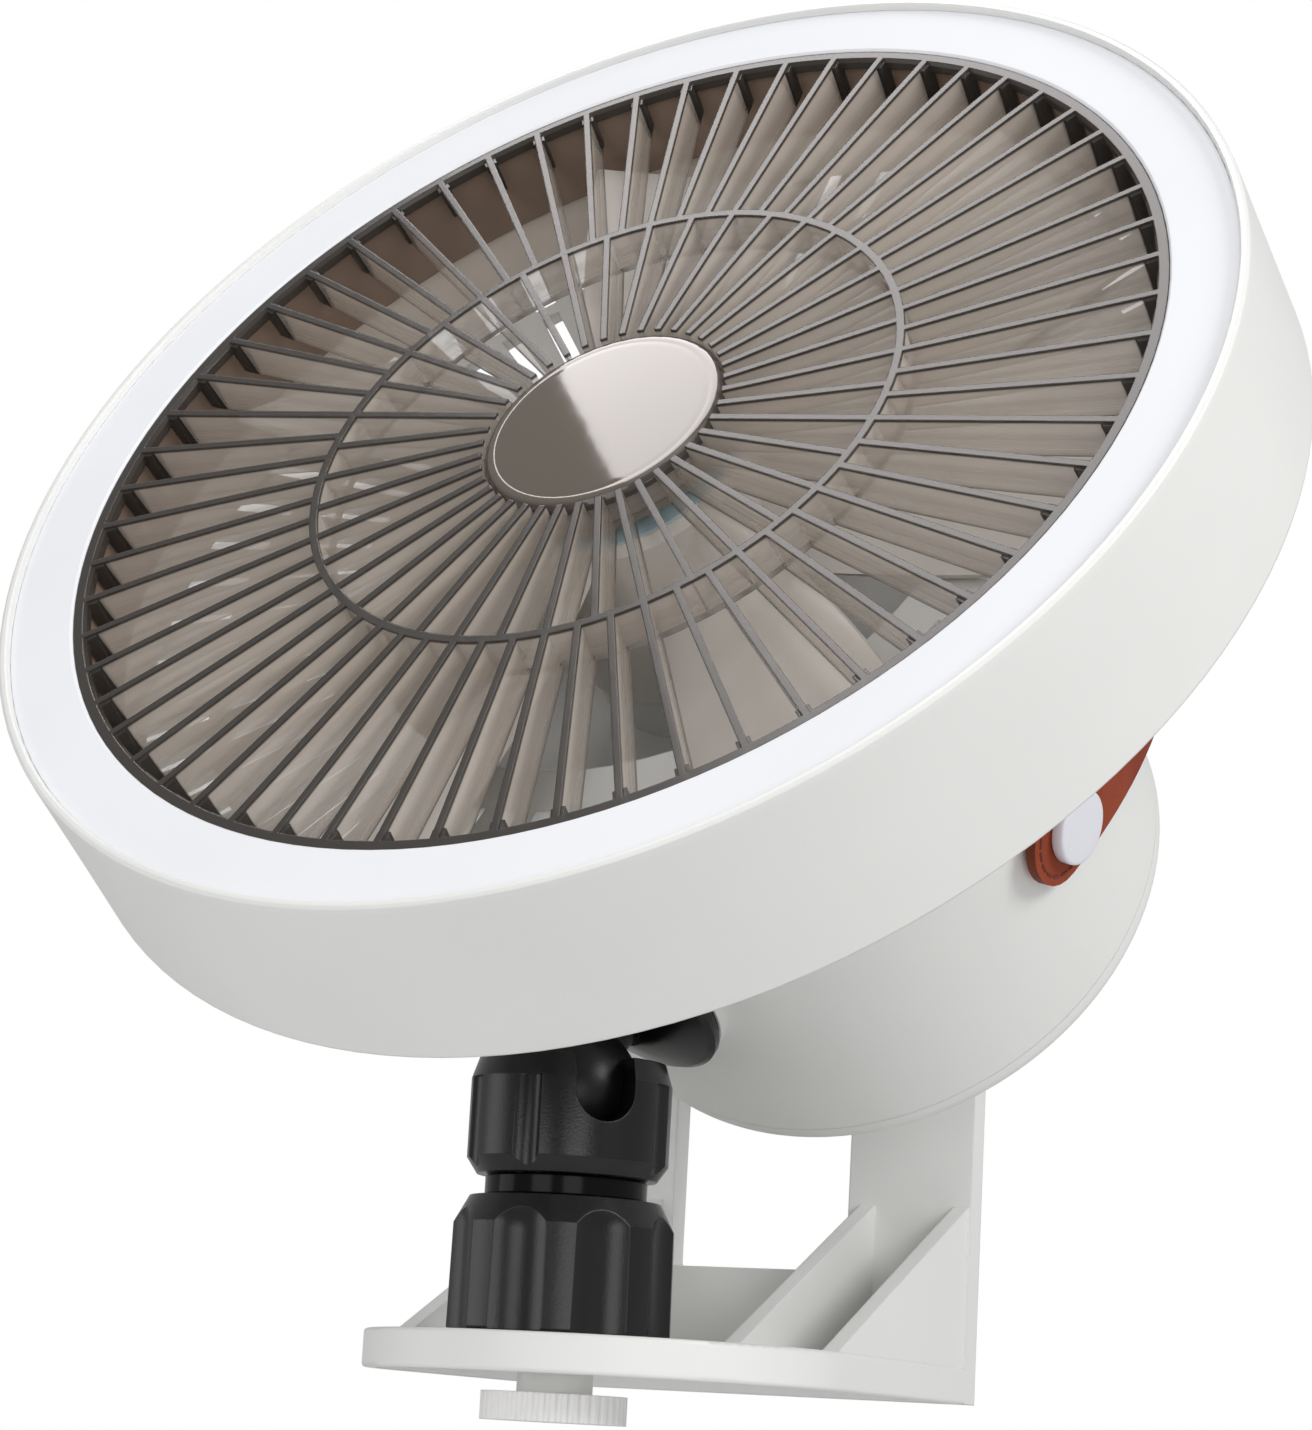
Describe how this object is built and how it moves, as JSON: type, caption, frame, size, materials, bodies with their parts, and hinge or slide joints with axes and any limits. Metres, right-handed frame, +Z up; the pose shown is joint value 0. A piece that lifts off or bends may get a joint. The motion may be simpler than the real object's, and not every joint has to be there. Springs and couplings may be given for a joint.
{
  "type": "wall fan",
  "caption": "Round tilting wall fan with light ring, smoke rib grille, narrow rear battery housing, leather strap, ball mount and gusseted wall bracket.",
  "frame": {"origin": "centre of the four wall screws on the bracket's wall face", "axes": "+X right along the wall, +Y into the wall, +Z up"},
  "size_m": [0.2333, 0.2168, 0.2667],
  "materials": {
    "white_plastic": "satin",
    "cream_plastic": "satin",
    "light_diffuser": "matte",
    "smoke_plastic": "gloss",
    "cap_gloss": "gloss",
    "blade_plastic": "gloss",
    "black_plastic": "satin",
    "black_gloss": "gloss",
    "rubber": "matte",
    "steel": "brushed",
    "brass": "satin",
    "board": "satin",
    "board_white": "matte",
    "led_yellow": "matte",
    "cell_wrap": "gloss",
    "leather": "matte",
    "button_white": "gloss"
  },
  "bodies": {
    "bracket": {"wall_bracket": "white_plastic", "mount_base": "black_plastic", "neck_ring": "black_gloss"},
    "thumb_screw": {"thumb_knob": "white_plastic", "thumb_stud": "steel"},
    "lock_collar": {"lower_collar": "black_plastic"},
    "ball_socket": {"ball_housing": "black_plastic"},
    "ball": {"ball_stem": "black_gloss", "platform_disc": "black_plastic", "platform_pad": "rubber", "tripod_stud": "steel"},
    "head": {"barrel_shell": "cream_plastic", "light_ring": "light_diffuser", "led_tray": "white_plastic", "led_board": "board_white", "leds": "led_yellow", "air_duct": "blade_plastic", "front_grille": "smoke_plastic", "grille_cap": "cap_gloss", "motor_stator": "brass", "motor_mount": "white_plastic", "intake_guard": "cream_plastic", "rear_housing": "cream_plastic", "tripod_insert": "brass", "bulkhead": "white_plastic", "control_board": "board", "cells": "cell_wrap", "cell_holder": "white_plastic", "rear_cap": "cream_plastic", "indicator_lenses": "light_diffuser", "charge_port": "steel", "cap_screws": "steel", "strap_posts": "steel"},
    "fan_wheel": {"impeller": "blade_plastic", "hub_spinner": "blade_plastic", "motor_rotor": "steel", "motor_shaft": "steel"},
    "power_key": {"power_button": "button_white"},
    "speed_key": {"speed_button": "button_white"},
    "light_key": {"light_button": "button_white"},
    "carry_strap": {"strap": "leather", "snap_caps": "button_white"}
  },
  "joints": [
    {"name": "thumb_screw_turn", "type": "hinge", "parent": "bracket", "child": "thumb_screw", "pos_m": [0, -0.10764, -0.105], "axis": [0, 0, 1], "continuous": true},
    {"name": "lock_collar_turn", "type": "hinge", "parent": "bracket", "child": "lock_collar", "pos_m": [0, -0.10764, -0.08], "axis": [0, 0, 1], "range_deg": [0, 120]},
    {"name": "socket_turn", "type": "hinge", "parent": "bracket", "child": "ball_socket", "pos_m": [0, -0.10764, -0.054], "axis": [0, 0, 1], "range_deg": [-60, 4]},
    {"name": "ball_tilt", "type": "hinge", "parent": "ball_socket", "child": "ball", "pos_m": [0, -0.10764, -0.04972], "axis": [-0.845, 0.5348, 0], "range_deg": [-36, 0.5]},
    {"name": "head_twist", "type": "hinge", "parent": "ball", "child": "head", "pos_m": [0.0062, -0.09784, -0.03343], "axis": [0.3102, 0.4901, 0.8146], "range_deg": [-5, 12]},
    {"name": "fan_spin", "type": "hinge", "parent": "head", "child": "fan_wheel", "pos_m": [0.01873, -0.135, 0.05076], "axis": [-0.1134, -0.8289, 0.5479], "continuous": true},
    {"name": "power_press", "type": "slide", "parent": "head", "child": "power_key", "axis": [-0.0797, -0.911, 0.4047], "range_m": [0, 0.0007], "stiffness_N_per_m": 400},
    {"name": "speed_press", "type": "slide", "parent": "head", "child": "speed_key", "axis": [-0.0797, -0.911, 0.4047], "range_m": [0, 0.0007], "stiffness_N_per_m": 400},
    {"name": "light_press", "type": "slide", "parent": "head", "child": "light_key", "axis": [-0.0797, -0.911, 0.4047], "range_m": [0, 0.0007], "stiffness_N_per_m": 400},
    {"name": "strap_swing", "type": "hinge", "parent": "head", "child": "carry_strap", "pos_m": [0.02526, -0.06969, 0.01816], "axis": [0.9412, -0.2025, -0.2704], "range_deg": [-6, 30]}
  ]
}
